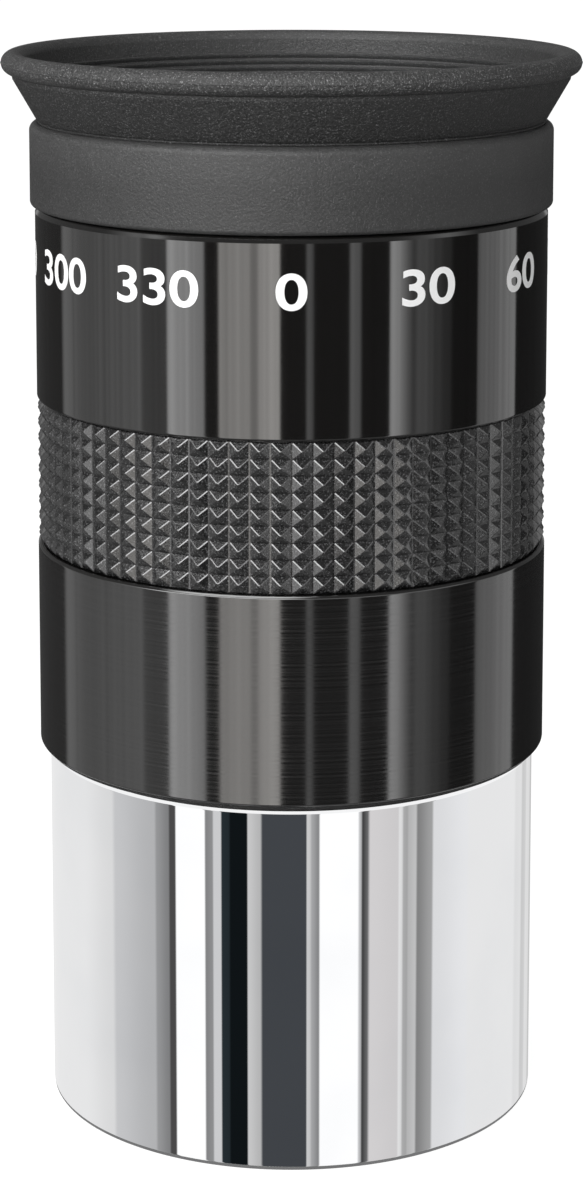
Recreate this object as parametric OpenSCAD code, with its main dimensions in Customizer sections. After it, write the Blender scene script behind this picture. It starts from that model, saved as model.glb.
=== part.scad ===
// Telescope eyepiece with a push-fit barrel, two cemented lens pairs and a fold-down rubber eyecup.
// The optical axis is Z. The barrel's open end is at z = 0 and the eye looks down from the top.

/* [Barrel] */
// Outside diameter of the push-fit barrel
barrel_d = 31.75; // [30.6:0.05:32.9]
// Length of barrel that shows below the housing
barrel_length = 23.4; // [16:0.1:34]
// Bevel on both ends of the barrel's outside
barrel_bevel = 0.35; // [0.1:0.05:0.5]

/* [Filter thread] */
// Wall left outside the thread in the barrel's mouth
mouth_wall = 1.625; // [0.8:0.025:2.2]
// Pitch of that thread
filter_thread_pitch = 0.6; // [0.5:0.05:0.75]
// Depth of that thread from the barrel's end
filter_thread_length = 4.8; // [3:0.1:7]

/* [Housing thread] */
// Wall of the housing round the thread of the barrel's spigot
thread_wall = 1.8; // [1.2:0.05:2.3]
// Pitch of that thread
spigot_thread_pitch = 0.75; // [0.5:0.05:1]
// Length of the barrel's spigot inside the housing
spigot_length = 6; // [4:0.1:9]
// Wall of the spigot round the field stop ring, thread included
spigot_wall = 1.4; // [0.9:0.05:2]

/* [Field stop] */
// Width of the field stop ring from its edge to its clear opening
stop_width = 1.53; // [1:0.01:3]
// Width of the seat in the barrel under that ring
stop_seat_width = 0.45; // [0.2:0.05:0.9]
// Height of the field stop ring
stop_height = 2.2; // [1.4:0.1:4]
// Height of the stop's knife edge
stop_edge = 0.3; // [0.2:0.05:0.6]
// How far the stop's seat lies below the housing
stop_setback = 3; // [0.5:0.1:8]

/* [Housing] */
// How far the housing stands out from the barrel
housing_step = 0.675; // [0.4:0.025:2]
// Height of the housing from its lower face to the shoulder under the eyecup
housing_length = 35.4; // [33:0.1:44]
// Bevel on the housing's turned edges
housing_bevel = 0.3; // [0.1:0.05:0.5]
// How much wider the housing's open bore is than the lens ring, on the radius
bore_step = 0.4; // [0.1:0.05:1]
// How far the neck that the eyecup grips lies inside the housing's surface
neck_step = 1.35; // [1:0.05:1.8]
// Height of that neck
neck_height = 4.8; // [4.4:0.1:6]
// Depth of the groove round the neck
neck_groove_depth = 0.6; // [0.3:0.05:0.8]
// Height of the groove round the neck
neck_groove_height = 1.6; // [1:0.1:2.4]
// Height of that groove above the neck's foot
neck_groove_start = 1.6; // [0.6:0.1:2]

/* [Eye recess] */
// How far the lip covers the eye lens's edge
lip_width = 1.4; // [0.6:0.05:3]
// Height of that lip
lip_height = 0.8; // [0.5:0.05:1.4]
// Wall of the neck round the top of the recess
recess_wall = 1.5; // [0.9:0.05:2.6]
// Depth of the recess from the top of the neck to the lip
recess_depth = 3.2; // [2:0.1:4]
// Number of anti-glare steps down the recess
recess_steps = 5; // [3:1:7]

/* [Lenses] */
// Diameter of the lenses
lens_d = 24; // [23:0.1:24.4]
// Radius of the crown lenses' faces and of the cemented faces
crown_radius = 24.7; // [22.5:0.1:40]
// Radius of the outer faces
outer_radius = 108; // [70:1:400]
// Thickness of a crown lens at its centre
crown_thickness = 7.6; // [7.2:0.1:9]
// Thickness of a flint lens at its centre
flint_thickness = 2; // [1.4:0.1:3]
// Air between the two crown lenses at their centres
lens_gap = 0.6; // [0.3:0.1:1.5]
// Wall of the spacer between the crown lenses
spacer_wall = 1.1; // [0.7:0.05:1.8]

/* [Lens ring] */
// How much wider than the lenses the ring that holds them is, on the radius
lock_ring_step = 0.7; // [0.3:0.05:1]
// How far that ring covers the lens's edge
lock_ring_cover = 0.8; // [0.4:0.05:2]
// Height of that ring
lock_ring_height = 2.4; // [1.6:0.1:4]
// Width of the two spanner slots across it
slot_width = 1.6; // [0.8:0.1:3]
// Depth of those slots
slot_depth = 0.9; // [0.4:0.1:1.2]

/* [Grip] */
// Height of the grip's groove above the housing's lower face
grip_start = 13.5; // [9:0.1:18]
// Height of the grip's groove
grip_height = 9.5; // [6:0.1:12]
// Depth of the grip's groove
grip_depth = 1; // [0.7:0.05:1.3]
// How far the points stay below the housing's surface
grip_setback = 0.03; // [0:0.01:0.2]
// Height of the points
point_height = 0.38; // [0.15:0.01:0.5]
// Points round the grip
grip_columns = 80; // [48:1:96]
// Rows of points
grip_rows = 9; // [5:1:12]

/* [Eyecup] */
// How far the collar stands out from the housing
collar_step = 0.31; // [0.1:0.01:1]
// Height of the collar
collar_height = 5.3; // [5.1:0.1:7]
// Rounding of the collar's outer edges
collar_round = 0.5; // [0.2:0.05:0.7]
// Width of the collar's lip over the neck
collar_lip = 0.8; // [0.3:0.05:1.2]
// How far the flare's foot lies inside the collar's surface
waist_step = 0.58; // [0.52:0.02:0.8]
// Height of the flare
flare_height = 3.12; // [1.5:0.01:5]
// Wall of the flare, measured across the axis
flare_wall = 0.89; // [0.5:0.01:1.2]
// How far the rim stands out from the collar
rim_step = 1.76; // [1.2:0.02:3]
// Radius of the rim's round bead
rim_bead = 0.74; // [0.6:0.01:1.1]
// Height of the bead's centre above the rim's lower face
rim_rise = 0.69; // [0.4:0.01:0.7]

/* [Clearances] */
// Between the threads of barrel and housing, on the radius
thread_clearance = 0.06; // [0.03:0.01:0.1]
// Between a lens and the bore round it, on the radius
lens_clearance = 0.05; // [0.02:0.01:0.1]
// Between a lens and its seat
seat_clearance = 0.04; // [0.02:0.01:0.1]
// Between cemented or glued faces
glue_line = 0.02; // [0.01:0.01:0.05]
// Between the grip's ends and its groove
grip_gap = 0.1; // [0.05:0.05:0.2]
// Between the housing's shoulder and the collar
collar_gap = 0.12; // [0.05:0.01:0.3]
// Between the rim's bore and the collar that it folds down over
fold_clearance = 0.29; // [0.1:0.01:0.4]
// Between the flare and the rim
flare_gap = 0.06; // [0.03:0.01:0.15]

/* [Hidden] */
$fn = 96;
// Overlap of a cut past the face that it leaves
past = 1;
// Share of the pitch that a thread's flat crest takes
crest_share = 0.25;
// Depth of a thread as a share of its pitch
thread_depth_share = 0.54;

barrel_r = barrel_d / 2;
housing_r = barrel_r + housing_step;
filter_major_r = barrel_r - mouth_wall;
filter_minor_r = filter_major_r - thread_depth_share * filter_thread_pitch;
spigot_major_r = housing_r - thread_wall;
spigot_minor_r = spigot_major_r - thread_depth_share * spigot_thread_pitch;
spigot_top = barrel_length + spigot_length;
spigot_bore_r = spigot_major_r - spigot_wall;
barrel_bore_r = spigot_bore_r - stop_seat_width;
stop_seat = barrel_length - stop_setback;
stop_r = spigot_bore_r - glue_line;
stop_opening_r = stop_r - stop_width;

lens_r = lens_d / 2;
shoulder = barrel_length + housing_length;
neck_r = housing_r - neck_step;
neck_top = shoulder + neck_height;
neck_groove_r = neck_r - neck_groove_depth;
neck_groove_base = shoulder + neck_groove_start;
lip_top = neck_top - recess_depth;
lip_seat = lip_top - lip_height;
eye_opening_r = lens_r - lip_width;
recess_step = (neck_r - recess_wall - eye_opening_r) / recess_steps;

eye_vertex = lip_seat + sag(outer_radius, eye_opening_r) - seat_clearance;
eye_cement = eye_vertex - flint_thickness;
eye_inner = eye_cement - crown_thickness;
field_inner = eye_inner - lens_gap;
field_cement = field_inner - crown_thickness;
field_vertex = field_cement - flint_thickness;
spacer_bore_r = lens_r - spacer_wall;
lock_ring_r = lens_r + lock_ring_step;
lock_ring_bore_r = lens_r - lock_ring_cover;
housing_bore_r = lock_ring_r + bore_step;
lock_ring_top = field_vertex + sag(outer_radius, lock_ring_bore_r) - seat_clearance;
lock_ring_base = lock_ring_top - lock_ring_height;
lens_bore_r = lens_r + lens_clearance;

grip_base = barrel_length + grip_start;
grip_bore_r = housing_r - grip_depth;
grip_point_r = housing_r - grip_setback;
grip_valley_r = grip_point_r - point_height;
grip_row = (grip_height - 2 * grip_gap) / grip_rows;

collar_r = housing_r + collar_step;
collar_base = shoulder + collar_gap;
collar_top = collar_base + collar_height;
collar_bore_r = neck_r + glue_line;
waist_r = collar_r - waist_step;
rim_base = collar_top + flare_height;
rim_r = collar_r + rim_step;
rim_bore_r = collar_r + fold_clearance;
flare_top_r = rim_bore_r + flare_wall;
flare_top = rim_base - flare_gap;

// Height that a sphere of the given radius falls from its top at distance r from the axis
function sag(radius, r) = radius - sqrt(radius * radius - r * r);

// Upright tube or disc between two heights, from radius inner to radius outer
module ring(inner, outer, low, high) {
    rotate_extrude() translate([inner, low]) square([outer - inner, high - low]);
}

// Solid disc with bevelled outer edges
module bevelled(r, low, high, low_bevel, high_bevel) {
    rotate_extrude() polygon([
        [0, low],
        [r - low_bevel, low],
        [r, low + low_bevel],
        [r, high - high_bevel],
        [r - high_bevel, high],
        [0, high],
    ]);
}

// V-shaped thread grooves as closed rings, from the crest radius to the root radius
module thread_grooves(crest_r, root_r, pitch, low, length) {
    away = root_r > crest_r ? -past : past;
    count = floor(length / pitch);
    flat = crest_share * pitch;
    rotate_extrude() for (turn = [0 : count - 1]) translate([0, low + turn * pitch]) polygon([
        [crest_r + away, flat],
        [crest_r, flat],
        [root_r, (pitch + flat) / 2],
        [crest_r, pitch],
        [crest_r + away, pitch],
    ]);
}

// Crown lens: two equal domes, with its lower and upper centres at the given heights
module crown(low, high) {
    intersection() {
        translate([0, 0, low + crown_radius]) sphere(r = crown_radius);
        translate([0, 0, high - crown_radius]) sphere(r = crown_radius);
        translate([0, 0, low]) cylinder(r = lens_r, h = high - low);
    }
}

// Flint lens that caps a crown: hollow towards it and slightly domed on the far side
module flint(cemented, vertex) {
    upward = vertex > cemented ? 1 : -1;
    edge = cemented - upward * sag(crown_radius, lens_r);
    difference() {
        intersection() {
            translate([0, 0, vertex - upward * outer_radius]) sphere(r = outer_radius);
            translate([0, 0, min(edge, vertex)]) cylinder(r = lens_r, h = abs(vertex - edge));
        }
        translate([0, 0, cemented + upward * (glue_line - crown_radius)]) sphere(r = crown_radius);
    }
}

module nosepiece_barrel() {
    color("gainsboro") difference() {
        union() {
            bevelled(barrel_r, 0, barrel_length, barrel_bevel, barrel_bevel);
            bevelled(spigot_major_r, barrel_length - past, spigot_top, 0, housing_bevel);
        }
        translate([0, 0, -past]) cylinder(r = barrel_bore_r, h = spigot_top + 2 * past);
        translate([0, 0, stop_seat]) cylinder(r = spigot_bore_r, h = spigot_top);
        translate([0, 0, -past]) cylinder(r = filter_minor_r, h = filter_thread_length + past);
        thread_grooves(filter_minor_r, filter_major_r, filter_thread_pitch, 0, filter_thread_length);
        thread_grooves(spigot_major_r, spigot_minor_r, spigot_thread_pitch, barrel_length, spigot_length);
    }
}

module field_stop_ring() {
    color("dimgray") rotate_extrude() polygon([
        [stop_opening_r, stop_seat],
        [stop_r, stop_seat],
        [stop_r, stop_seat + stop_height],
        [stop_r - stop_height / 3, stop_seat + stop_height],
        [stop_opening_r, stop_seat + stop_edge],
    ]);
}

module housing() {
    color("black") difference() {
        union() {
            bevelled(housing_r, barrel_length, grip_base, housing_bevel, housing_bevel);
            cylinder_between(grip_bore_r, grip_base - past, grip_base + grip_height + past);
            bevelled(housing_r, grip_base + grip_height, shoulder, housing_bevel, housing_bevel);
            bevelled(neck_r, shoulder - past, neck_top, 0, housing_bevel);
        }
        // Seat of the eyecup's inner bead
        ring(neck_groove_r, neck_r + past, neck_groove_base, neck_groove_base + neck_groove_height);
        // Thread for the barrel's spigot, then the open bore and the lens ring's thread
        cylinder_between(spigot_major_r + thread_clearance, barrel_length - past, spigot_top + glue_line);
        cylinder_between(housing_bore_r, barrel_length, lock_ring_base);
        cylinder_between(lock_ring_r, barrel_length, lock_ring_top);
        cylinder_between(lens_bore_r, barrel_length, lip_seat);
        cylinder_between(eye_opening_r, lip_seat - past, neck_top);
        // Anti-glare steps that open towards the eye
        for (step = [1 : recess_steps])
            cylinder_between(
                eye_opening_r + step * recess_step,
                lip_top + (step - 1) * recess_depth / recess_steps,
                neck_top + past
            );
    }
}

module cylinder_between(r, low, high) {
    translate([0, 0, low]) cylinder(r = r, h = high - low);
}

// Corner of the grip's grid of valleys
function valley(row, column) = [
    grip_valley_r * cos(column * 360 / grip_columns),
    grip_valley_r * sin(column * 360 / grip_columns),
    grip_base + grip_gap + row * grip_row,
];

// Tip of the point in one cell of that grid
function point_tip(row, column) = [
    grip_point_r * cos((column + 0.5) * 360 / grip_columns),
    grip_point_r * sin((column + 0.5) * 360 / grip_columns),
    grip_base + grip_gap + (row + 0.5) * grip_row,
];

module grip_ring() {
    last = grip_columns - 1;
    valleys = [for (row = [0 : grip_rows], column = [0 : last]) valley(row, column)];
    tips = [for (row = [0 : grip_rows - 1], column = [0 : last]) point_tip(row, column)];
    function corner(row, column) = row * grip_columns + column % grip_columns;
    function tip(row, column) = len(valleys) + row * grip_columns + column;
    sides = [
        for (row = [0 : grip_rows - 1], column = [0 : last], side = [0 : 3])
            let (corners = [
                corner(row, column),
                corner(row, column + 1),
                corner(row + 1, column + 1),
                corner(row + 1, column),
            ])
            [corners[side], tip(row, column), corners[(side + 1) % 4]]
    ];
    ends = [
        [for (column = [0 : last]) corner(0, column)],
        [for (column = [0 : last]) corner(grip_rows, last - column)],
    ];
    color("darkslategray") difference() {
        polyhedron(points = concat(valleys, tips), faces = concat(sides, ends));
        cylinder_between(grip_bore_r + glue_line, grip_base - past, grip_base + grip_height + past);
    }
}

module field_lens_flint() {
    color("lightsteelblue") flint(field_cement, field_vertex);
}

module field_lens_crown() {
    color("lightcyan") crown(field_cement, field_inner);
}

module lens_spacer() {
    rim_drop = sag(crown_radius, spacer_bore_r) - glue_line;
    color("dimgray") ring(spacer_bore_r, lens_r, field_inner - rim_drop, eye_inner + rim_drop);
}

module eye_lens_crown() {
    color("lightcyan") crown(eye_inner, eye_cement);
}

module eye_lens_flint() {
    color("lightsteelblue") flint(eye_cement, eye_vertex);
}

module lens_lock_ring() {
    color("dimgray") difference() {
        ring(lock_ring_bore_r, lock_ring_r - glue_line, lock_ring_base, lock_ring_top);
        translate([-lock_ring_r, -slot_width / 2, lock_ring_base - past])
            cube([2 * lock_ring_r, slot_width, slot_depth + past]);
    }
}

module eyecup_collar() {
    corner_r = collar_r - collar_round;
    bead_base = neck_groove_base + glue_line;
    bead_height = neck_groove_height - 2 * glue_line;
    lip_base = neck_top + glue_line;
    color("dimgray") rotate_extrude() {
        translate([collar_bore_r, collar_base]) square([corner_r - collar_bore_r, collar_height]);
        translate([corner_r, collar_base + collar_round])
            square([collar_round, collar_height - 2 * collar_round]);
        for (height = [collar_base + collar_round, collar_top - collar_round])
            translate([corner_r, height]) circle(r = collar_round);
        // Bead in the neck's groove, and the lip over the neck's top
        translate([neck_groove_r + glue_line, bead_base])
            square([collar_bore_r + collar_round - neck_groove_r, bead_height]);
        translate([neck_r - collar_lip, lip_base])
            square([collar_lip + collar_round, collar_top - lip_base]);
    }
}

module eyecup_flare() {
    color("dimgray") rotate_extrude() polygon([
        [waist_r - flare_wall, collar_top],
        [waist_r, collar_top],
        [flare_top_r, flare_top],
        [flare_top_r - flare_wall, flare_top],
    ]);
}

module eyecup_rim() {
    color("dimgray") rotate_extrude() intersection() {
        translate([rim_r - rim_bead, rim_base + rim_rise]) circle(r = rim_bead);
        translate([rim_bore_r, rim_base]) square([rim_r, rim_rise + rim_bead]);
    }
}

nosepiece_barrel();
field_stop_ring();
housing();
grip_ring();
field_lens_flint();
field_lens_crown();
lens_spacer();
eye_lens_crown();
eye_lens_flint();
lens_lock_ring();
eyecup_collar();
eyecup_flare();
eyecup_rim();
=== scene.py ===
import math
import bmesh
import bpy
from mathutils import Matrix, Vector


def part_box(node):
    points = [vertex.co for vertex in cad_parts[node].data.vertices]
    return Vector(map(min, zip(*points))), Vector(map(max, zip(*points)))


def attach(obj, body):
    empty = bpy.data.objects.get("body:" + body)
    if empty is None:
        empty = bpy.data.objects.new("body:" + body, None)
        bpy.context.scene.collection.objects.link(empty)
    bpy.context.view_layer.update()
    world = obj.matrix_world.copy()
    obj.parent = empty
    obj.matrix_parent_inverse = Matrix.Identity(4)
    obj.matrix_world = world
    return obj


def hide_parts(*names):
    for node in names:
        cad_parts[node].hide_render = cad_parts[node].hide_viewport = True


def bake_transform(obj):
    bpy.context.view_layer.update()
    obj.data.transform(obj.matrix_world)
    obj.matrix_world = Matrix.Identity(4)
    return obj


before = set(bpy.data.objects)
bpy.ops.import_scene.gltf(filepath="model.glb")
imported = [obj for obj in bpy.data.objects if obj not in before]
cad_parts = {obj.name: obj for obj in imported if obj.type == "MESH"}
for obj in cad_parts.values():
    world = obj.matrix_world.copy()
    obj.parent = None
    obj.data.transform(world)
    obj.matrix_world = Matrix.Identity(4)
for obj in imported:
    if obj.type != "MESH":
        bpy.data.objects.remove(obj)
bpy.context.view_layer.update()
mm = 0.001
segments = 192  # steps round the optical axis
turn = 2 * math.pi / segments  # one step, in radians
hair = 0.01  # millimetres of play where sizes are compared
weldGap = 0.0002 * mm
print("stage: frame loaded,", len(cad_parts), "nodes")


# shader helpers

class Sock:  # a shader socket that works in Python expressions
    def __init__(self, shade, socket):
        self.shade = shade
        self.socket = socket

    def math(self, operation, *others):
        values = dict(enumerate((self,) + others))
        return self.shade.node("ShaderNodeMath", {"operation": operation}, values)

    def __add__(self, other):
        return self.math("ADD", other)

    def __radd__(self, other):
        return self.math("ADD", other)

    def __sub__(self, other):
        return self.math("SUBTRACT", other)

    def __rsub__(self, other):
        return self.shade.node("ShaderNodeMath", {"operation": "SUBTRACT"}, {0: other, 1: self})

    def __mul__(self, other):
        return self.math("MULTIPLY", other)

    def __rmul__(self, other):
        return self.math("MULTIPLY", other)

    def __pow__(self, other):
        return self.math("POWER", other)

    def ramp(self, low, high, start=0.0, end=1.0):  # smooth step from start to end
        return self.shade.node(
            "ShaderNodeMapRange",
            {"interpolation_type": "SMOOTHSTEP"},
            {0: self, 1: low, 2: high, 3: start, 4: end},
        )


class Shade:  # one node tree and the ways to add to it
    def __init__(self, tree):
        self.tree = tree
        tree.nodes.clear()

    def node(self, kind, settings=None, inputs=None, output=0):
        made = self.tree.nodes.new(kind)
        for key, value in (settings or {}).items():
            setattr(made, key, value)
        for key, value in (inputs or {}).items():
            if isinstance(value, Sock):
                self.tree.links.new(value.socket, made.inputs[key])
            else:
                made.inputs[key].default_value = value
        return Sock(self, made.outputs[output]) if made.outputs else made

    def mix(self, factor, first, second):  # colours
        return self.node("ShaderNodeMix", {"data_type": "RGBA"}, {0: factor, 6: first, 7: second}, 2)

    def place(self):  # object coordinates in millimetres
        coords = self.node("ShaderNodeTexCoord", output="Object")
        return self.node("ShaderNodeVectorMath", {"operation": "SCALE"}, {0: coords, "Scale": 1 / mm})

    def split(self, vector):  # x, y and z
        return [self.node("ShaderNodeSeparateXYZ", None, {0: vector}, axis) for axis in range(3)]

    def height(self, spot):
        return self.node("ShaderNodeSeparateXYZ", None, {0: spot}, "Z")

    def noise(self, where, scale, detail=2.0, roughness=0.5):
        sockets = {"Vector": where, "Scale": scale, "Detail": detail, "Roughness": roughness}
        return self.node("ShaderNodeTexNoise", None, sockets)

    def rings(self, z, scale, detail=2.0):  # lines that run round the axis
        where = self.node("ShaderNodeCombineXYZ", None, {2: z})
        return self.noise(where, scale, detail)

    def bump(self, height, depth):  # depth in millimetres
        return self.node("ShaderNodeBump", None, {"Height": height, "Distance": depth * mm})

    def output(self, shader, kind="ShaderNodeOutputMaterial"):
        self.node(kind, None, {"Surface": shader})


def newFinish(name):
    material = bpy.data.materials.new(name)
    material.use_nodes = True
    return material, Shade(material.node_tree)


def grey(value):
    return (value, value, value, 1)


# finishes

chromeLook = {
    "colour": (0.91, 0.912, 0.92, 1),
    "haze": (0.87, 0.876, 0.888, 1),
    "hazeScale": 0.12,
    "hazeEdge": (0.4, 0.8),
    "roughness": 0.0,  # a true mirror, to which the studio shows panels of its own
    "polishScale": 16,
    "polishDepth": 0.00012,
}

dullAndShadedLook = {  # unpolished plating on the threaded spigot; on the rounded lower edge, darker plating that paints the shade under the foot
    **chromeLook,
    "colour": (0.62, 0.622, 0.63, 1),
    "haze": (0.57, 0.574, 0.58, 1),
    "roughness": 0.18,
}


def chromePlate(name, look):
    material, shade = newFinish(name)
    spot = shade.place()
    haze = shade.noise(spot, look["hazeScale"], detail=4)
    lines = shade.rings(shade.height(spot), look["polishScale"], detail=3)
    sockets = {
        "Base Color": shade.mix(haze.ramp(*look["hazeEdge"]), look["colour"], look["haze"]),
        "Metallic": 1,
        "Roughness": look["roughness"],
        "Normal": shade.bump(lines, look["polishDepth"]),
    }
    shade.output(shade.node("ShaderNodeBsdfPrincipled", None, sockets))
    return material


matteLook = {
    "dark": grey(0.010),
    "pale": grey(0.022),
    "roughness": 0.62,
    "rougher": 0.15,
    "specular": 0.35,
    "grainScale": 14,
    "grainShare": 0.3,
    "grooves": 0.4,  # millimetres from groove to groove
    "grooveShare": 0.5,
    "depth": 0.05,
}


def matteBlack(name, grooved=True):  # flat black of the inside, with fine anti-glare turning
    look = matteLook
    material, shade = newFinish(name)
    spot = shade.place()
    grain = shade.noise(spot, look["grainScale"], detail=3)
    height = look["grainShare"] * grain
    if grooved:
        wave = (shade.height(spot) * (2 * math.pi / look["grooves"])).math("SINE")
        height = look["grooveShare"] * wave + height
    sockets = {
        "Base Color": shade.mix(grain, look["dark"], look["pale"]),
        "Roughness": look["roughness"] + look["rougher"] * grain,
        "Specular IOR Level": look["specular"],
        "Normal": shade.bump(height, look["depth"]),
    }
    shade.output(shade.node("ShaderNodeBsdfPrincipled", None, sockets))
    return material


anodisedLook = {
    "dark": (0.0030, 0.0028, 0.0027, 1),
    "pale": (0.0075, 0.0070, 0.0066, 1),
    "roughness": 0.045,
    "streak": 0.06,
    "markScale": 9,
    "markDepth": 0.0008,
    "ior": 1.87,
    "cloudScale": 0.35,
    "satin": (36.2, 37.2),  # heights between which the brushed lower part gives way to the gloss
    "brushScale": 7,
    "brushEdge": (0.3, 0.7),
    "satinDark": (0.0055, 0.0053, 0.0052, 1),
    "satinPale": (0.0125, 0.0122, 0.0120, 1),
    "satinRoughness": 0.07,
}


def blackAnodised():
    look = anodisedLook
    material, shade = newFinish("blackAnodised")
    spot = shade.place()
    z = shade.height(spot)
    marks = shade.rings(z, look["markScale"], detail=4)
    cloud = shade.noise(spot, look["cloudScale"], detail=3)
    satin = z.ramp(*look["satin"], 1, 0)
    brush = shade.rings(z, look["brushScale"], detail=4).ramp(*look["brushEdge"])
    gloss = shade.mix(marks, look["dark"], look["pale"])
    brushed = shade.mix(brush, look["satinDark"], look["satinPale"])
    blur = look["streak"] * marks * cloud + look["satinRoughness"] * satin * brush
    sockets = {
        "Base Color": shade.mix(satin, gloss, brushed),
        "Roughness": look["roughness"] + blur,
        "IOR": look["ior"],
        "Normal": shade.bump(marks, look["markDepth"]),
    }
    shade.output(shade.node("ShaderNodeBsdfPrincipled", None, sockets))
    return material


gripLook = {
    "dark": (0.002, 0.002, 0.0021, 1),
    "pale": (0.10, 0.10, 0.102, 1),
    "roughness": 0.15,
    "rougher": 0.08,
    "cloudScale": 0.8,
    "grainScale": 8,
    "grainEdge": (0.50, 0.76),
    "grainDepth": 0.012,
    "ior": 1.75,
    "coat": 0.5,
    "coatRoughness": 0.14,
}


def gripRubber():
    look = gripLook
    material, shade = newFinish("gripRubber")
    spot = shade.place()
    grain = shade.noise(spot, look["grainScale"], detail=3, roughness=0.6)
    cloud = shade.noise(spot, look["cloudScale"])
    sockets = {
        "Base Color": shade.mix(grain.ramp(*look["grainEdge"]), look["dark"], look["pale"]),
        "Roughness": look["roughness"] + look["rougher"] * cloud,
        "IOR": look["ior"],
        "Coat Weight": look["coat"],
        "Coat Roughness": look["coatRoughness"],
        "Normal": shade.bump(grain, look["grainDepth"]),
    }
    shade.output(shade.node("ShaderNodeBsdfPrincipled", None, sockets))
    return material


rubberGrain = {  # shared by the eyecup's zones
    "grainScale": 5.5,
    "grainEdge": (0.25, 0.75),
    "grainShare": 0.7,
    "cloudScale": 0.5,
    "cloudShare": 0.3,
    "speckScale": 10,
    "speckSoft": 0.2,
    "speckRise": 0.5,
    "rougher": 0.2,
    "specular": 0.5,
}
collarLook = {
    "dark": grey(0.027),
    "pale": grey(0.053),
    "speck": grey(0.092),
    "specks": 0.56,
    "depth": 0.018,
    "roughness": 0.42,
    "paintedShade": (61.0, 64.0, 0.66),  # painted shade, darker towards the bottom: heights between which the tone rises from this share to all of it
}
# the collar's rubber made darker for the cup's inside: painted shade
shadedInsideLook = {
    **collarLook,
    "dark": grey(0.024),
    "pale": grey(0.044),
}
flareLook = {
    "dark": grey(0.008),
    "pale": grey(0.029),
    "speck": grey(0.115),
    "specks": 0.56,
    "depth": 0.04,
    "roughness": 0.5,
    # painted shade, darker towards the bottom
    "paintedShade": (64.3, 67.3, 0.75),
}
rimLook = {
    "dark": grey(0.013),
    "pale": grey(0.053),
    "speck": grey(0.23),
    "specks": 0.55,
    "depth": 0.05,
    "roughness": 0.36,
    # painted shade, darker towards the bottom
    "paintedShade": (67.3, 68.0, 0.95),
}


def mouldedRubber(name, look):  # grainy rubber with pale specks, and painted shade that darkens it towards the bottom
    look = {**rubberGrain, **look}
    material, shade = newFinish(name)
    spot = shade.place()
    grain = shade.noise(spot, look["grainScale"], detail=3, roughness=0.6)
    grain = grain.ramp(*look["grainEdge"])
    cloud = shade.noise(spot, look["cloudScale"])
    specks = shade.noise(spot, look["speckScale"], detail=1)
    specks = specks.ramp(look["specks"], look["specks"] + look["speckSoft"])
    mottle = grain * look["grainShare"] + cloud * look["cloudShare"]
    tone = shade.mix(mottle, look["dark"], look["pale"])
    tone = shade.mix(specks, tone, look["speck"])
    # painted shade: the tone darkens towards the bottom of each zone
    low, high, share = look["paintedShade"]
    sockets = {
        "Base Color": shade.mix(shade.height(spot).ramp(low, high, share, 1.0), grey(0), tone),
        "Roughness": look["roughness"] + look["rougher"] * grain,
        "Specular IOR Level": look["specular"],
        "Normal": shade.bump(grain + specks * look["speckRise"], look["depth"]),
    }
    shade.output(shade.node("ShaderNodeBsdfPrincipled", None, sockets))
    return material


paintLook = {
    "dark": grey(0.80),
    "pale": grey(0.90),
    "roughness": 0.4,
    "rougher": 0.2,
    "grainScale": 20,
    "depth": 0.002,
}


def markPaint():
    look = paintLook
    material, shade = newFinish("markPaint")
    grain = shade.noise(shade.place(), look["grainScale"])
    sockets = {
        "Base Color": shade.mix(grain, look["dark"], look["pale"]),
        "Roughness": look["roughness"] + look["rougher"] * grain,
        "Normal": shade.bump(grain, look["depth"]),
    }
    shade.output(shade.node("ShaderNodeBsdfPrincipled", None, sockets))
    return material


glassLook = {
    "crown": {"colour": (0.985, 0.995, 1.0, 1), "ior": 1.517},
    "flint": {"colour": (0.985, 1.0, 0.99, 1), "ior": 1.62},
    "coatThickness": 420,  # nanometres of coating, which gives the tinted reflection
    "coatIor": 1.38,
    "smear": 0.012,
    "smearScale": 0.4,
    "smearPower": 4,  # gathers the smears into few places
    "edgeWidth": 0.05,
    "edgeDark": grey(0.008),
    "edgePale": grey(0.02),
    "edgeGrain": 10,
    "edgeRoughness": 0.7,
    "edgeRougher": 0.2,
}


def lensGlass(name, kind, lensRadius):  # coated glass with a blackened edge
    look = {**glassLook, **glassLook[kind]}
    material, shade = newFinish(name)
    spot = shade.place()
    x, y = shade.split(spot)[:2]
    smear = shade.noise(spot, look["smearScale"], detail=3)
    clear = {
        "Base Color": look["colour"],
        "Roughness": look["smear"] * smear ** look["smearPower"],
        "IOR": look["ior"],
        "Transmission Weight": 1,
        "Thin Film Thickness": look["coatThickness"],
        "Thin Film IOR": look["coatIor"],
    }
    grain = shade.noise(spot, look["edgeGrain"])
    black = {
        "Base Color": shade.mix(grain, look["edgeDark"], look["edgePale"]),
        "Roughness": look["edgeRoughness"] + look["edgeRougher"] * grain,
    }
    width = look["edgeWidth"]
    edge = ((x * x + y * y) ** 0.5).ramp(lensRadius - 2 * width, lensRadius - width)
    shaders = [shade.node("ShaderNodeBsdfPrincipled", None, inputs) for inputs in (clear, black)]
    shade.output(shade.node("ShaderNodeMixShader", None, {0: edge, 1: shaders[0], 2: shaders[1]}))
    return material


# mesh helpers

def softened(corners, steps=4):  # corners are (radius, height) or (radius, height, rounding)
    outline = []
    for index, corner in enumerate(corners):
        here = Vector(corner[:2])
        if len(corner) < 3:
            outline.append(tuple(here))
            continue
        before = Vector(corners[index - 1][:2])
        after = Vector(corners[(index + 1) % len(corners)][:2])
        entry = here + (before - here).normalized() * corner[2]
        leave = here + (after - here).normalized() * corner[2]
        for step in range(steps + 1):
            share = step / steps
            point = entry * (1 - share) ** 2 + here * 2 * share * (1 - share) + leave * share ** 2
            outline.append(tuple(point))
    return outline


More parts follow.
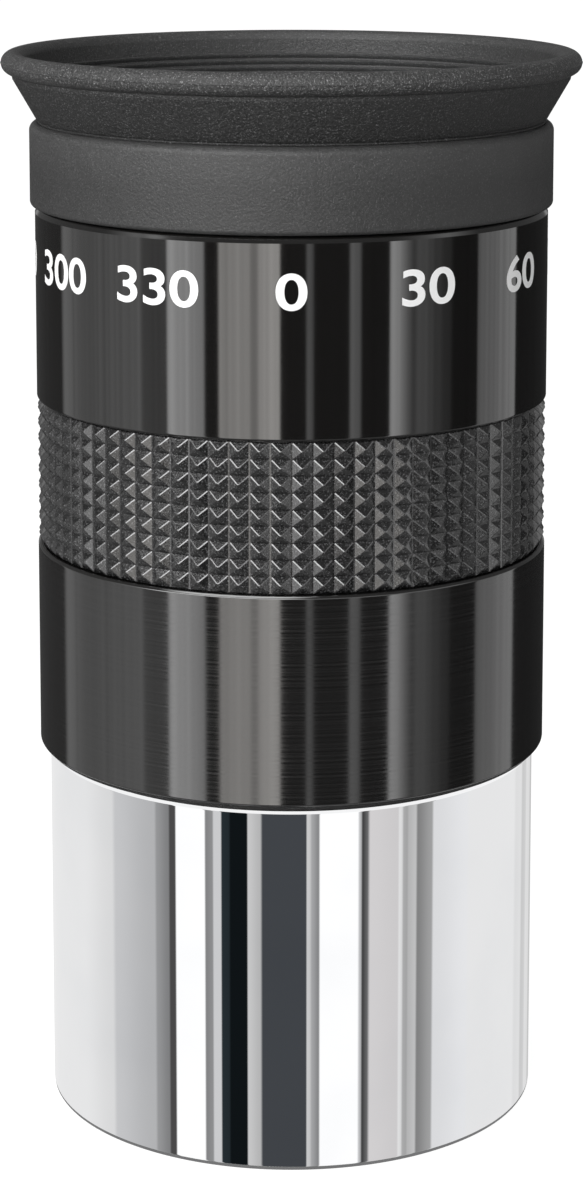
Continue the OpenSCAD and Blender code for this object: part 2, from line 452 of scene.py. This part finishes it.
def arc(centre, radius, start, end, steps, squash=1.0):  # part of a circle or an oval, in degrees
    angles = [math.radians(start + (end - start) * step / steps) for step in range(steps + 1)]
    return [(centre[0] + radius * math.cos(a), centre[1] + squash * radius * math.sin(a)) for a in angles]


def around(radius, angle, height):  # millimetres to a point in the frame, angle in radians
    return Vector((radius * math.cos(angle), radius * math.sin(angle), height)) * mm


def supported(outline, margin=0.04, longFrom=0.2):  # end points that keep a long stretch's shading straight
    points = []
    for here, after in zip(outline, outline[1:] + outline[:1]):
        points.append(here)
        start = Vector(here)
        run = Vector(after) - start
        if run.length > longFrom:
            step = run.normalized() * margin
            points += [tuple(start + step), tuple(start + run - step)]
    return points


def addLathe(mesh, outline, closed=True):
    outline = supported(outline) if closed else supported(outline)[:-2]
    rings = [[mesh.verts.new(around(r, k * turn, z)) for k in range(segments)] for r, z in outline]
    pairs = list(zip(rings, rings[1:]))
    if closed:
        pairs.append((rings[-1], rings[0]))
    for low, high in pairs:
        for k in range(segments):
            after = (k + 1) % segments
            mesh.faces.new((low[k], low[after], high[after], high[k]))


def addThread(mesh, crest, root, pitch, low, high):  # a V thread that winds up from low to high
    turns = int((high - low + hair) / pitch) - 1
    profile = [(crest, 0), (crest, 0.25), (root, 0.625), (crest, 1)]  # radius, and share of the pitch
    rows = []
    for step in range(turns * segments + 1):
        rise = low + pitch * step / segments
        rows.append([mesh.verts.new(around(r, step * turn, rise + share * pitch)) for r, share in profile])
    for row, after in zip(rows, rows[1:]):
        for side in range(3):
            mesh.faces.new((row[side], after[side], after[side + 1], row[side + 1]))
    lowRing = [mesh.verts.new(around(crest, k * turn, low)) for k in range(segments)]
    highRing = [mesh.verts.new(around(crest, k * turn, high)) for k in range(segments)]
    for k in range(segments):  # the plain run-in and run-out
        after = (k + 1) % segments
        mesh.faces.new((lowRing[k], lowRing[after], rows[k + 1][0], rows[k][0]))
        last = len(rows) - 1 - segments + k
        mesh.faces.new((rows[last][3], rows[last + 1][3], highRing[after], highRing[k]))
    for row in (rows[0], rows[-1]):  # the thread's two ends
        mesh.faces.new(row)


def finishPiece(name, mesh, finishes, pick=None, smoothAngle=32):
    bmesh.ops.remove_doubles(mesh, verts=mesh.verts, dist=weldGap)
    bmesh.ops.dissolve_degenerate(mesh, edges=mesh.edges, dist=weldGap / 2)
    bmesh.ops.recalc_face_normals(mesh, faces=mesh.faces)
    for face in mesh.faces:
        face.smooth = smoothAngle > 0
        if pick:
            middle = face.calc_center_median() / mm
            face.material_index = pick(math.hypot(middle.x, middle.y), middle.z)
    data = bpy.data.meshes.new(name)
    mesh.to_mesh(data)
    mesh.free()
    if smoothAngle > 0:
        data.set_sharp_from_angle(angle=math.radians(smoothAngle))
    for finish in finishes:
        data.materials.append(finish)
    piece = bpy.data.objects.new(name, data)
    bpy.context.scene.collection.objects.link(piece)
    print("stage: made", name, len(data.polygons), "faces")
    return piece


def span(node):  # lowest height, highest height and radius of a CAD node, in millimetres
    low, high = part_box(node)
    return low.z / mm, high.z / mm, high.x / mm


# barrel

barrelSpec = {
    "lowRound": 0.3,
    "topBevel": 0.148,
    "topBevelHeight": 0.34,
    "edge": 0.06,
    "bore": 12.9,
    "spigotBore": 13.35,
    "stopSeat": 20.4,
    "filterCrest": 13.926,
    "filterRoot": 14.25,
    "filterPitch": 0.6,
    "filterLength": 4.8,
    "spigot": 14.75,
    "spigotRoot": 14.345,
    "spigotPitch": 0.75,
    "spigotBevel": 0.3,
    "blackWithin": 13.75,
}


def makeBarrel():
    spec = barrelSpec
    low, top, outer = span("nosepiece_barrel")
    shoulder = span("housing")[0]
    edge = spec["edge"]
    mesh = bmesh.new()
    leadIn = spec["filterRoot"] - spec["filterCrest"]
    threadTop = top - spec["spigotBevel"]
    threadLow = threadTop - spec["spigotPitch"] * int((threadTop - shoulder) / spec["spigotPitch"])
    outside = softened([
        (spec["spigot"], threadLow),
        (spec["spigot"], shoulder),
        (outer - spec["topBevel"], shoulder),
        (outer, shoulder - spec["topBevelHeight"]),
        (outer, low, spec["lowRound"]),
        (spec["filterRoot"], low, edge),
        (spec["filterCrest"], low + leadIn),
    ])
    inside = softened([
        (spec["filterCrest"], spec["filterLength"]),
        (spec["bore"], spec["filterLength"], edge),
        (spec["bore"], spec["stopSeat"]),
        (spec["spigotBore"], spec["stopSeat"]),
        (spec["spigotBore"], top, edge),
        (spec["spigot"] - spec["spigotBevel"], top, edge),
        (spec["spigot"], threadTop),
    ])
    threadStart = low + leadIn
    threadEnd = spec["filterLength"]
    addLathe(mesh, outside, closed=False)
    addLathe(mesh, inside, closed=False)
    addThread(mesh, spec["filterCrest"], spec["filterRoot"], spec["filterPitch"], threadStart, threadEnd)
    addThread(mesh, spec["spigot"], spec["spigotRoot"], spec["spigotPitch"], threadLow, threadTop)
    blackFrom = spec["filterLength"] - hair

    def pick(radius, height):  # chrome outside and at the mouth, black in the bore
        if radius < spec["blackWithin"] and height > blackFrom:
            return 1
        # the foot's rounded edge takes the darker plating as painted shade
        shadedFootEdge = height < spec["lowRound"] and radius > outer - spec["lowRound"]
        return 2 if shadedFootEdge or height > shoulder + edge else 0

    finishes = [
        chromePlate("chromePlate", chromeLook),
        matteBlack("barrelBlack"),
        chromePlate("dullAndShadedPlate", dullAndShadedLook),
    ]
    piece = finishPiece("barrelTube", mesh, finishes, pick)
    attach(piece, "nosepiece")
    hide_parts("nosepiece_barrel")


# housing

housingSpec = {
    "bevel": 0.3,
    "lowBevel": 0.4,
    "grooveBevel": 0.14,
    "shoulderBevel": 0.18,
    "shoulderDrop": 0.36,
    "edge": 0.05,
    "threadBore": 14.81,
    "threadTop": 29.42,
    "bore": 13.1,
    "lockBore": 12.7,
    "lockLow": 38.42,
    "lockTop": 40.82,
    "lensBore": 12.05,
    "lipSeat": 59.6,
    "lipTop": 60.4,
    "eyeOpening": 10.6,
    "recessTop": 13.7,
    "recessSteps": 5,
    "neck": 15.2,
    "neckGroove": 14.6,
    "grooveLow": 60.4,
    "grooveTop": 62.0,
    "shoulder": 58.8,
    "gripBed": 15.55,
    "gripGap": 0.1,
}


def makeHousing():
    spec = housingSpec
    low, top, outer = span("housing")
    gripLow, gripTop = span("grip_ring")[:2]
    gripLow -= spec["gripGap"]
    gripTop += spec["gripGap"]
    bevel = spec["bevel"]
    edge = spec["edge"]
    lip = spec["grooveBevel"]
    corners = [
        (spec["threadBore"], low, edge),
        (spec["threadBore"], spec["threadTop"]),
        (spec["bore"], spec["threadTop"], edge),
        (spec["bore"], spec["lockLow"]),
        (spec["lockBore"], spec["lockLow"], edge),
        (spec["lockBore"], spec["lockTop"]),
        (spec["lensBore"], spec["lockTop"]),
        (spec["lensBore"], spec["lipSeat"]),
        (spec["eyeOpening"], spec["lipSeat"], edge),
        (spec["eyeOpening"], spec["lipTop"], edge),
    ]
    count = spec["recessSteps"]
    for step in range(count):  # anti-glare steps that open towards the eye
        wide = spec["eyeOpening"] + (spec["recessTop"] - spec["eyeOpening"]) * (step + 1) / count
        foot = spec["lipTop"] + (top - spec["lipTop"]) * step / count
        head = spec["lipTop"] + (top - spec["lipTop"]) * (step + 1) / count
        corners += [(wide, foot), (wide, head, edge)]
    corners += [
        (spec["neck"] - bevel, top, edge),
        (spec["neck"], top - bevel, edge),
        (spec["neck"], spec["grooveTop"], edge),
        (spec["neckGroove"], spec["grooveTop"]),
        (spec["neckGroove"], spec["grooveLow"]),
        (spec["neck"], spec["grooveLow"], edge),
        (spec["neck"], spec["shoulder"]),
        (outer - spec["shoulderBevel"], spec["shoulder"], edge),
        (outer, spec["shoulder"] - spec["shoulderDrop"]),
        (outer, gripTop + lip, edge),
        (outer - lip, gripTop, edge),
        (spec["gripBed"], gripTop),
        (spec["gripBed"], gripLow),
        (outer - lip, gripLow, edge),
        (outer, gripLow - lip, edge),
        (outer, low + spec["lowBevel"], edge),
        (outer - spec["lowBevel"], low, edge),
    ]
    mesh = bmesh.new()
    addLathe(mesh, softened(corners))

    def pick(radius, height):  # matte in the bores and the recess, and on the lower bevel
        inside = radius < spec["gripBed"] - hair or height < low + spec["lowBevel"] - edge
        neckSide = radius > spec["neckGroove"] - hair and height > spec["shoulder"] - bevel
        return 1 if inside and not neckSide else 0

    finishes = [blackAnodised(), matteBlack("housingBlack")]
    piece = finishPiece("housingShell", mesh, finishes, pick, smoothAngle=25)
    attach(piece, "housing")
    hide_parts("housing")


# grip

gripSpec = {
    "columns": 80,
    "rows": 9,
    "bore": 15.57,
    "valley": 16.23,
    "ridge": 0.05,  # half width of the dulled edges, as a share of a cell
    "keep": 0.4,  # least share of a side that its cut corners leave
    "levels": [(1.0, 1.0, 0.0), (0.92, 1.0, 0.0), (0.13, 0.13, 0.95), (0.05, 0.05, 1.0)],  # across, up, out
}


def makeGrip():
    spec = gripSpec
    low, top, tip = span("grip_ring")
    columns = spec["columns"]
    row = (top - low) / spec["rows"]
    mesh = bmesh.new()
    cut = spec["ridge"]

    def corner(column, line, u, v, height):  # u and v run from -1 to 1 across the cell
        angle = 2 * math.pi * (column + 0.5 + u / 2) / columns
        radius = spec["valley"] + height * (tip - spec["valley"])
        return mesh.verts.new(around(radius, angle, low + row * (line + 0.5 + v / 2)))

    for line in range(spec["rows"]):
        for column in range(columns):
            rings = []
            for wide, tall, height in spec["levels"]:
                nearU = max(wide - 2 * cut, wide * spec["keep"])
                nearV = max(tall - 2 * cut, tall * spec["keep"])
                spots = [(-nearU, -tall), (nearU, -tall), (wide, -nearV), (wide, nearV),
                         (nearU, tall), (-nearU, tall), (-wide, nearV), (-wide, -nearV)]
                if wide == 1.0:  # neighbours share the valley's corners
                    spots = [(-1, -1), (1, -1), (1, -1), (1, 1), (1, 1), (-1, 1), (-1, 1), (-1, -1)]
                rings.append([corner(column, line, u, v, height) for u, v in spots])
            for ring, inner in zip(rings, rings[1:]):
                for k in range(len(ring)):
                    after = (k + 1) % len(ring)
                    mesh.faces.new((ring[k], ring[after], inner[after], inner[k]))
            mesh.faces.new(rings[-1])
    for k in range(columns):  # the sleeve's ends and its inside
        angles = (2 * math.pi * k / columns, 2 * math.pi * (k + 1) / columns)
        ends = [[[mesh.verts.new(around(r, a, z)) for a in angles] for r in (spec["bore"], spec["valley"])]
                for z in (low, top)]
        (lowIn, lowOut), (topIn, topOut) = ends
        for first, second in ((lowIn, lowOut), (topIn, topOut), (lowIn, topIn)):
            mesh.faces.new((first[0], first[1], second[1], second[0]))
    piece = finishPiece("gripSleeve", mesh, [gripRubber()], smoothAngle=0)
    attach(piece, "housing")
    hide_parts("grip_ring")


# eyecup

eyecupSpec = {
    "neckBore": 15.22,
    "beadIn": 14.62,
    "beadLow": 60.42,
    "beadTop": 61.98,
    "lip": 14.4,
    "lipLow": 63.62,
    "lipRound": 0.12,
    "beadRound": 0.2,
    "round": 0.5,
    "roundLow": 0.28,
    "roundSteps": 8,
    "waist": 16.28,
    "waistBead": 0.09,
    "waistTurn": 60,  # degrees of that bead above and below its widest point
    "waistSteps": 6,
    "wall": 0.9,
    "flareSteps": 12,
    "rimBore": 17.1,
    "rim": 0.77,
    "rimStart": -72,  # degrees round the bead, from the crease under it
    "rimSquash": 0.93,  # height of the rim's bead as a share of its width
    "rimSteps": (12, 22),  # below and above the parting line
    "ribs": 7,
    "ribStart": 1.5,
    "ribDepth": 0.26,
    "ribClear": 0.1,
    "crease": 0.1,
    "partLine": 0.03,
    "partWidth": 4,  # degrees of the bead to either side of the parting line
    "foldStart": 0.36,  # share of the flare that stays with the collar when the real rim is folded down
}


def makeEyecup():
    spec = eyecupSpec
    collarLow, collarTop, collarRadius = span("eyecup_collar")
    flareLow, flareTop, flareRadius = span("eyecup_flare")
    rimLow, rimTop, rimRadius = span("eyecup_rim")
    roundness = spec["round"]
    rim = spec["rim"]
    squash = spec["rimSquash"]
    centre = (rimRadius - rim, rimTop - rim * squash)
    foot = spec["roundLow"]
    steps = spec["roundSteps"]
    outline = [(spec["neckBore"], collarLow)]
    outline += arc((collarRadius - foot, collarLow + foot), foot, -90, 0, steps)
    outline += arc((collarRadius - roundness, collarTop - roundness), roundness, 0, 90, steps)
    bead = spec["waistBead"]
    outline += [(spec["waist"], collarTop - bead)]
    lean = spec["waistTurn"]
    beadCentre = (spec["waist"], collarTop + bead)  # thin bead at the flare's foot
    outline += arc(beadCentre, bead, -lean, lean, spec["waistSteps"])
    for step in range(1, spec["flareSteps"]):  # the flare's outside
        share = step / spec["flareSteps"]
        height = collarTop + (flareTop - collarTop) * share
        outline.append((spec["waist"] + (flareRadius - spec["waist"]) * share, height))
    outline += [(flareRadius - spec["crease"], flareTop)]
    part = spec["partWidth"]
    lowSteps, highSteps = spec["rimSteps"]
    outline += arc(centre, rim, spec["rimStart"], -part, lowSteps, squash)
    outline += [(rimRadius + spec["partLine"], centre[1])]
    innerEnd = math.degrees(math.acos((spec["rimBore"] - centre[0]) / rim))
    outline += arc(centre, rim, part, innerEnd, highSteps, squash)
    inside = (spec["waist"] - spec["wall"], collarTop)
    ribTop = rimTop - spec["ribStart"]
    outline += ribs((spec["rimBore"], ribTop), inside, spec["ribs"], spec["ribDepth"])
    outline += softened([
        inside,
        (spec["lip"], collarTop, spec["lipRound"]),
        (spec["lip"], spec["lipLow"]),
        (spec["neckBore"], spec["lipLow"]),
        (spec["neckBore"], spec["beadTop"]),
        (spec["beadIn"], spec["beadTop"], spec["beadRound"]),
        (spec["beadIn"], spec["beadLow"], spec["beadRound"]),
        (spec["neckBore"], spec["beadLow"]),
    ])
    slant = (spec["rimBore"] - inside[0]) / (flareTop - collarTop)
    mesh = bmesh.new()
    addLathe(mesh, outline)

    def pick(radius, height):  # smooth collar and inside, grainy flare and rim
        if height < collarTop:
            return 0
        if radius < inside[0] + slant * (height - collarTop) + spec["ribClear"]:
            return 3
        return 2 if height > rimLow else 1

    finishes = [
        mouldedRubber("collarRubber", collarLook),
        mouldedRubber("flareRubber", flareLook),
        mouldedRubber("rimRubber", rimLook),
        mouldedRubber("shadedInsideRubber", shadedInsideLook),
    ]
    piece = finishPiece("eyecupRubber", mesh, finishes, pick, smoothAngle=40)
    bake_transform(piece)
    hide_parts("eyecup_collar", "eyecup_flare", "eyecup_rim")


def ribs(start, end, count, depth, gap=0.12, steps=6):  # round ribs down a straight wall, towards the axis
    start = Vector(start)
    end = Vector(end)
    down = end - start
    out = Vector((down.y, -down.x)).normalized()
    if out.x > 0:
        out = -out
    points = []
    for rib in range(count):
        for step in range(steps + 1):
            share = step / steps
            along = (rib + gap + (1 - 2 * gap) * share) / count
            points.append(tuple(start + down * along + out * depth * math.sin(math.pi * share)))
    return points


# numbers round the upper housing

numberSpec = {
    "count": 12,
    "step": 30,
    "front": -90,  # degrees of the side that faces the camera, where 0 stands
    "height": 55.4,
    "size": 3.1,  # text size, which gives figures of about 2.2 mm
    "widen": 1.3,
    "bolder": 0.05,
    "thickness": 0.012,
    "sink": 0.004,
    "slice": 0.2,  # width of the strips that follow the curve
    "weld": 0.0005,
}


def makeNumbers():
    spec = numberSpec
    radius = span("housing")[2]
    wrapped = bmesh.new()
    for index in range(spec["count"]):
        flat = numberMesh(str(index * spec["step"]), spec)
        middle = math.radians(index * spec["step"] + spec["front"])
        for vert in flat.verts:
            angle = middle + vert.co.x / radius
            lift = radius - spec["sink"] + max(vert.co.z, 0)
            vert.co = around(lift, angle, spec["height"] + vert.co.y)
        data = bpy.data.meshes.new("number")
        flat.to_mesh(data)
        flat.free()
        wrapped.from_mesh(data)
        bpy.data.meshes.remove(data)
    piece = finishPiece("plainNumbers", wrapped, [markPaint()], smoothAngle=30)
    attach(piece, "housing")


def numberMesh(label, spec):  # one number, flat, in millimetres, centred
    curve = bpy.data.curves.new("number", "FONT")
    curve.body = label
    curve.align_x = "CENTER"
    curve.align_y = "CENTER"
    curve.size = spec["size"]
    curve.extrude = spec["thickness"]
    curve.offset = spec["bolder"]
    holder = bpy.data.objects.new("number", curve)
    bpy.context.scene.collection.objects.link(holder)
    bpy.context.view_layer.update()
    data = bpy.data.meshes.new_from_object(holder.evaluated_get(bpy.context.evaluated_depsgraph_get()))
    bpy.data.objects.remove(holder)
    bpy.data.curves.remove(curve)
    flat = bmesh.new()
    flat.from_mesh(data)
    bpy.data.meshes.remove(data)
    for vert in flat.verts:
        vert.co.x *= spec["widen"]
    bmesh.ops.remove_doubles(flat, verts=flat.verts, dist=spec["weld"])
    reach = max(abs(vert.co.x) for vert in flat.verts)
    for line in range(-int(reach / spec["slice"]), int(reach / spec["slice"]) + 1):
        everything = flat.verts[:] + flat.edges[:] + flat.faces[:]
        place = (line * spec["slice"] + hair, 0, 0)
        bmesh.ops.bisect_plane(flat, geom=everything, plane_co=place, plane_no=(1, 0, 0))
    return flat


# glass and inner rings keep their CAD shapes

def dressInside():
    lensRadius = span("eye_lens_crown")[2]
    crown = lensGlass("crownGlass", "crown", lensRadius)
    flint = lensGlass("flintGlass", "flint", lensRadius)
    ring = matteBlack("ringBlack", grooved=False)
    finishes = {
        "field_lens_flint": flint,
        "field_lens_crown": crown,
        "eye_lens_crown": crown,
        "eye_lens_flint": flint,
        "lens_spacer": ring,
        "lens_lock_ring": ring,
        "field_stop_ring": ring,
    }
    for node, finish in finishes.items():
        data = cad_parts[node].data
        data.materials.clear()
        data.materials.append(finish)
    print("stage: dressed", len(finishes), "inner nodes")


# studio

cameraSpec = {
    "distance": 200.7,
    "height": 84,
    "pitch": 8.161,
    "lens": 93.821,
    "sensor": 36,
    "shift": -0.285,
    "nearest": 5,
}

studioSpec = {
    "floor": 4.0,  # metres from the middle to the edge
    "floorColour": grey(0.45),
    "floorGlow": 0.93,
    "shadowShare": 0.35,
    "ring": (-4, 2),  # heights in degrees over which the bright ring above the panels fades in
    "ringColour": grey(1.0),
    "gap": (31, 41),
    "gapColour": grey(0.16),
    "back": (75, 100),  # degrees to either side beyond which the ring is low
    "backGap": (-3, 3),
    "top": (-0.25, -0.15, 0.95),  # direction of the light overhead, and the cosines where it fades in
    "topEdge": (0.92, 0.98),
    "topColour": grey(4.5),
    "low": (-30, -25.2),
    "lowColour": grey(0.28),
    "bank": {"from": -78, "to": 12, "sideFade": 20, "low": 14, "high": 33, "fade": 5},  # front left
    "bankColour": grey(7.2),
    "key": (-0.60, -0.62, 0.50),  # direction of the soft light that falls on dull surfaces
    "keyEdge": (-0.6, 1.0),
    "keyColour": grey(0.95),
    "fillColour": grey(0.26),
    "bodyStrength": 2.6,
    "streakScale": 0.4,
    "streakShare": 0.75,  # how strongly fine streaks show in the panels
}

neutral = (1, 1, 1)
warm = (1, 0.975, 0.94)
cool = (0.98, 0.985, 1)
slate = (0.86, 0.94, 1.06)
navy = (0.6, 0.85, 1)
rosy = (1, 0.975, 0.98)

pastBack = 190  # the panels begin and end a little past the back

# panels seen round the object: where each starts in degrees from the camera's side, how soft its edge is,
# the light at its start and end, and its tint
bodyPanels = [
    (-pastBack, 1, 0.025, 0.025, neutral),
    (-123, 2, 0.25, 0.17, neutral),
    (-106, 2, 0.17, 0.26, neutral),
    (-69, 1.5, 0.13, 0.11, neutral),
    (-56.3, 0.8, 0.92, 0.60, neutral),
    (-38.5, 0.8, 0.012, 0.012, neutral),
    (-32, 0.8, 0.68, 0.76, warm),
    (-18, 0.8, 0.47, 0.47, warm),
    (-14.5, 0.8, 0.84, 0.98, warm),
    (-5, 0.6, 0.012, 0.012, neutral),
    (6.5, 0.8, 0.28, 0.22, neutral),
    (9.5, 0.8, 0.012, 0.012, neutral),
    (25.5, 0.8, 0.34, 0.24, neutral),
    (30.5, 0.8, 0.012, 0.012, neutral),
    (43.8, 0.6, 0.85, 0.10, neutral),
    (56, 1, 0.19, 0.05, neutral),
    (75, 1.5, 0.012, 0.012, neutral),
    (90.6, 1, 0.27, 0.38, neutral),
    (118.5, 1, 0.012, 0.012, neutral),
]
platingPanels = [
    (-pastBack, 0.5, 0.45, 0.55, cool),
    (-172, 1, 0.86, 0.86, neutral),
    (-118, 1, 0.86, 0.76, neutral),
    (-93, 1.6, 0.62, 0.50, cool),
    (-67, 0.9, 0.34, 0.24, cool),
    (-59.5, 0.6, 0.075, 0.075, rosy),
    (-56, 0.5, 1.1, 1.1, neutral),
    (-41, 0.5, 0.25, 0.30, cool),
    (-37, 0.5, 0.66, 0.66, cool),
    (-33, 0.4, 0.034, 0.030, navy),
    (-29, 0.6, 0.009, 0.009, navy),
    (-20.5, 0.4, 0.62, 0.50, neutral),
    (-14, 0.7, 0.066, 0.066, slate),
    (7, 0.4, 0.66, 0.60, neutral),
    (9, 0.6, 0.42, 0.26, cool),
    (13, 0.5, 1.1, 1.1, neutral),
    (31.5, 0.6, 0.62, 0.50, cool),
    (33, 0.5, 0.05, 0.16, cool),
    (36.5, 0.8, 0.70, 0.66, rosy),
    (51.5, 0.6, 0.82, 0.74, neutral),
    (53.6, 0.6, 0.44, 0.40, neutral),
    (56.3, 0.6, 0.50, 0.58, neutral),
    (61, 0.7, 0.24, 0.38, neutral),
    (70, 0.8, 0.78, 0.87, cool),
    (92, 1, 0.86, 0.86, neutral),
    (134, 2, 0.78, 0.80, neutral),
    (144, 1.5, 0.62, 0.66, neutral),
    (152, 1.5, 0.78, 0.74, neutral),
    (163, 2, 0.55, 0.60, neutral),
]


def lightPanels(shade, degrees, panels):  # each panel starts over the one before
    ends = [panel[0] for panel in panels[1:]] + [pastBack]
    colour = grey(0)
    for (start, soft, first, last, tint), end in zip(panels, ends):
        shades = [(*(light * part for part in tint), 1) for light in (first, last)]
        panel = shades[0] if first == last else shade.mix(degrees.ramp(start, end), *shades)
        colour = shade.mix(degrees.ramp(start - soft, start + soft), colour, panel)
    return colour


def makeWorld():
    spec = studioSpec
    world = bpy.data.worlds.new("studio")
    bpy.context.scene.world = world
    world.use_nodes = True
    shade = Shade(world.node_tree)
    ray = shade.node("ShaderNodeTexCoord", output="Generated")
    x, y, z = shade.split(ray)
    degrees = x.math("ARCTAN2", y * -1) * math.degrees(1)
    body = lightPanels(shade, degrees, bodyPanels)
    plating = lightPanels(shade, degrees, platingPanels)
    camera, glossy, mirrored, through = (
        shade.node("ShaderNodeLightPath", output=name)
        for name in ("Is Camera Ray", "Is Glossy Ray", "Is Singular Ray", "Is Transmission Ray")
    )
    sockets = {"W": degrees, "Scale": spec["streakScale"], "Detail": 3}
    streaks = shade.node("ShaderNodeTexNoise", {"noise_dimensions": "1D"}, sockets)

    def climb(low, high, start=0.0, end=1.0):  # fade between two heights given in degrees
        return z.ramp(math.sin(math.radians(low)), math.sin(math.radians(high)), start, end)

    def toward(name):  # cosine of the angle from one of the named directions
        aim = Vector(spec[name]).normalized()
        return x * aim.x + y * aim.y + z * aim.z

    strength = spec["bodyStrength"] * (1 + spec["streakShare"] * (streaks - 0.5))
    strong = shade.node("ShaderNodeVectorMath", {"operation": "SCALE"}, {0: body, "Scale": strength})
    bank = spec["bank"]
    fade = bank["fade"]
    side = bank["sideFade"]
    rise = degrees.ramp(bank["from"], bank["from"] + side)
    across = rise * degrees.ramp(bank["to"] - side, bank["to"], 1, 0)
    upright = climb(bank["low"] - fade, bank["low"]) * climb(bank["high"], bank["high"] + fade, 1, 0)
    dull = 1 - mirrored
    behind = dull * degrees.math("ABSOLUTE").ramp(*spec["back"]) * climb(*spec["backGap"])
    sky = shade.mix(climb(*spec["gap"]).math("MAXIMUM", behind), spec["ringColour"], spec["gapColour"])
    sky = shade.mix(dull * across * upright, sky, spec["bankColour"])
    sky = shade.mix(toward("top").ramp(*spec["topEdge"]), sky, spec["topColour"])
    walls = shade.mix(mirrored, shade.mix(climb(*spec["low"]), spec["lowColour"], strong), plating)
    colour = shade.mix(climb(*spec["ring"]), walls, sky)
    soft = shade.mix(toward("key").ramp(*spec["keyEdge"]), spec["fillColour"], spec["keyColour"])
    lights = [
        shade.node("ShaderNodeBackground", None, {"Color": light, "Strength": 1})
        for light in (soft, colour, grey(1))
    ]
    seen = camera.math("MAXIMUM", through)
    light = shade.node("ShaderNodeMixShader", None, {0: glossy, 1: lights[0], 2: lights[1]})
    light = shade.node("ShaderNodeMixShader", None, {0: seen, 1: light, 2: lights[2]})
    shade.output(light, "ShaderNodeOutputWorld")
    print("stage: world lit")


def makeFloor():
    spec = studioSpec
    mesh = bmesh.new()
    bmesh.ops.create_grid(mesh, x_segments=2, y_segments=2, size=spec["floor"])
    data = bpy.data.meshes.new("floor")
    mesh.to_mesh(data)
    mesh.free()
    floor = bpy.data.objects.new("floor", data)
    bpy.context.scene.collection.objects.link(floor)
    material, shade = newFinish("paleFloor")
    ray = shade.node("ShaderNodeLightPath", output="Is Camera Ray")
    paper = shade.node("ShaderNodeBsdfDiffuse", None, {"Color": spec["floorColour"]})
    glowShare = 1 - spec["shadowShare"]
    strength = spec["floorGlow"] / glowShare
    glow = shade.node("ShaderNodeEmission", None, {"Color": grey(1), "Strength": strength})
    shade.output(shade.node("ShaderNodeMixShader", None, {0: ray * glowShare, 1: paper, 2: glow}))
    data.materials.append(material)
    floor.visible_glossy = False  # the plating mirrors the panels
    print("stage: floor laid")


lampSpec = {
    "name": "keySoftbox",
    "place": (-260, -386, 225),
    "aim": (0, 0, 40),
    "size": (620, 240),
    "power": 2.6,
}


def makeLamp():
    spec = lampSpec
    lamp = bpy.data.lights.new(spec["name"], "AREA")
    lamp.shape = "RECTANGLE"
    lamp.size, lamp.size_y = (side * mm for side in spec["size"])
    lamp.energy = spec["power"]
    holder = bpy.data.objects.new(spec["name"], lamp)
    holder.location = Vector(spec["place"]) * mm
    aim = Vector(spec["aim"]) * mm - holder.location
    holder.rotation_euler = aim.to_track_quat("-Z", "Y").to_euler()
    holder.visible_glossy = False  # the world's bank is seen in its place
    bpy.context.scene.collection.objects.link(holder)
    print("stage: lamp hung")


def makeCamera():
    spec = cameraSpec
    camera = bpy.data.cameras.new("photoCamera")
    camera.lens = spec["lens"]
    camera.sensor_width = spec["sensor"]
    camera.sensor_fit = "AUTO"
    camera.shift_y = spec["shift"]
    camera.clip_start = spec["nearest"] * mm
    camera.dof.use_dof = False
    holder = bpy.data.objects.new("photoCamera", camera)
    holder.location = Vector((0, -spec["distance"], spec["height"])) * mm
    holder.rotation_euler = (math.radians(90 - spec["pitch"]), 0, 0)
    bpy.context.scene.collection.objects.link(holder)
    bpy.context.scene.camera = holder
    print("stage: camera placed")


makeCamera()
makeBarrel()
makeHousing()
makeGrip()
makeEyecup()
makeNumbers()
dressInside()
makeWorld()
makeFloor()
makeLamp()
bpy.context.scene.view_settings.view_transform = "Standard"
